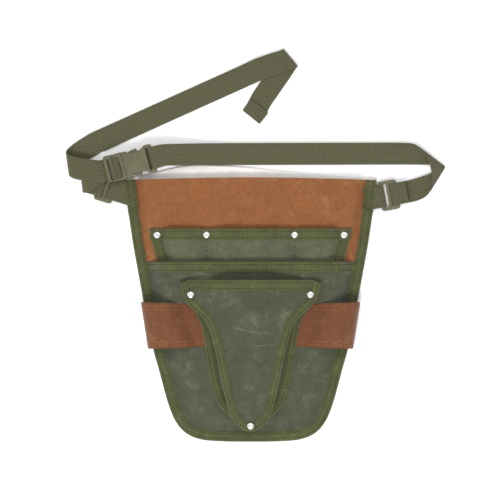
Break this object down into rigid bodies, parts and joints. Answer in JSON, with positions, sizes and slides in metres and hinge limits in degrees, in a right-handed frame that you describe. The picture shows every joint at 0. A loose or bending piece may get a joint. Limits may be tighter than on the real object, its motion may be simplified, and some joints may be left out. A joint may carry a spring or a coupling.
{
  "type": "garden tool bag",
  "caption": "Waxed canvas waist bag for hand tools, with pockets, a secateur holster, side tool loops and a webbing belt closed by a side-release buckle.",
  "frame": {"origin": "middle of the back panel's outer face, 150 mm above the bottom edge", "axes": "+Z out of the bag's front, +Y up towards its mouth, +X to the right of someone looking at its front"},
  "size_m": [0.435, 0.4475, 0.0428],
  "materials": {
    "fabric_back": "woven, matt",
    "cotton_lining": "woven, matt",
    "brown_waxed_canvas": "woven, matt",
    "olive_waxed_canvas": "woven, matt",
    "twill_binding": "woven, matt",
    "brown_loop_canvas": "woven, matt",
    "chromed_steel": "polished",
    "olive_plastic": "satin",
    "webbing": "woven, matt"
  },
  "bodies": {
    "bag": {"back_panel": "fabric_back", "lining_panel": "cotton_lining", "front_panel": "brown_waxed_canvas", "upper_pocket_panel": "olive_waxed_canvas", "upper_pocket_binding": "twill_binding", "lower_pocket_panel": "olive_waxed_canvas", "lower_pocket_binding": "twill_binding", "edge_binding": "twill_binding", "left_corner_binding": "twill_binding", "right_corner_binding": "twill_binding", "holster_front_panel": "olive_waxed_canvas", "holster_gusset": "olive_waxed_canvas", "holster_front_binding": "twill_binding", "holster_base_binding": "twill_binding", "holster_mouth_binding": "twill_binding", "right_tool_loop": "brown_loop_canvas", "left_tool_loop": "brown_loop_canvas", "upper_rivet_caps": "chromed_steel", "upper_rivet_posts": "chromed_steel", "holster_rivet_caps": "chromed_steel", "holster_rivet_posts": "chromed_steel", "right_tab": "webbing", "left_tab": "webbing", "buckle_female": "olive_plastic", "main_strap": "webbing", "short_strap": "webbing"},
    "right_slider_body": {"right_slider": "olive_plastic"},
    "left_slider_body": {"left_slider": "olive_plastic"},
    "buckle_male_body": {"buckle_male": "olive_plastic", "tail_strap": "webbing"},
    "left_arm_body": {"buckle_left_arm": "olive_plastic"},
    "right_arm_body": {"buckle_right_arm": "olive_plastic"}
  },
  "joints": [
    {"name": "buckle_release", "type": "slide", "parent": "bag", "child": "buckle_male_body", "axis": [-0.9659, -0.2588, 0], "range_m": [0, 0.026], "deforming": ["short_strap", "buckle_left_arm", "buckle_right_arm"]},
    {"name": "left_arm_squeeze", "type": "hinge", "parent": "buckle_male_body", "child": "left_arm_body", "pos_m": [-0.14379, 0.17271, 0.014], "axis": [0, 0, -1], "range_deg": [0, 12], "stiffness_Nm_per_rad": 0.05},
    {"name": "right_arm_squeeze", "type": "hinge", "parent": "buckle_male_body", "child": "right_arm_body", "pos_m": [-0.13882, 0.15416, 0.014], "axis": [0, 0, 1], "range_deg": [0, 12], "stiffness_Nm_per_rad": 0.05},
    {"name": "right_slider_swing", "type": "hinge", "parent": "bag", "child": "right_slider_body", "pos_m": [0.14866, 0.12768, 0.0035], "axis": [0.1908, -0.9816, 0], "range_deg": [0, 35], "deforming": ["main_strap"]},
    {"name": "left_slider_swing", "type": "hinge", "parent": "bag", "child": "left_slider_body", "pos_m": [-0.15539, 0.13577, 0.0035], "axis": [0.2924, 0.9563, 0], "range_deg": [0, 5], "deforming": ["short_strap"]}
  ]
}
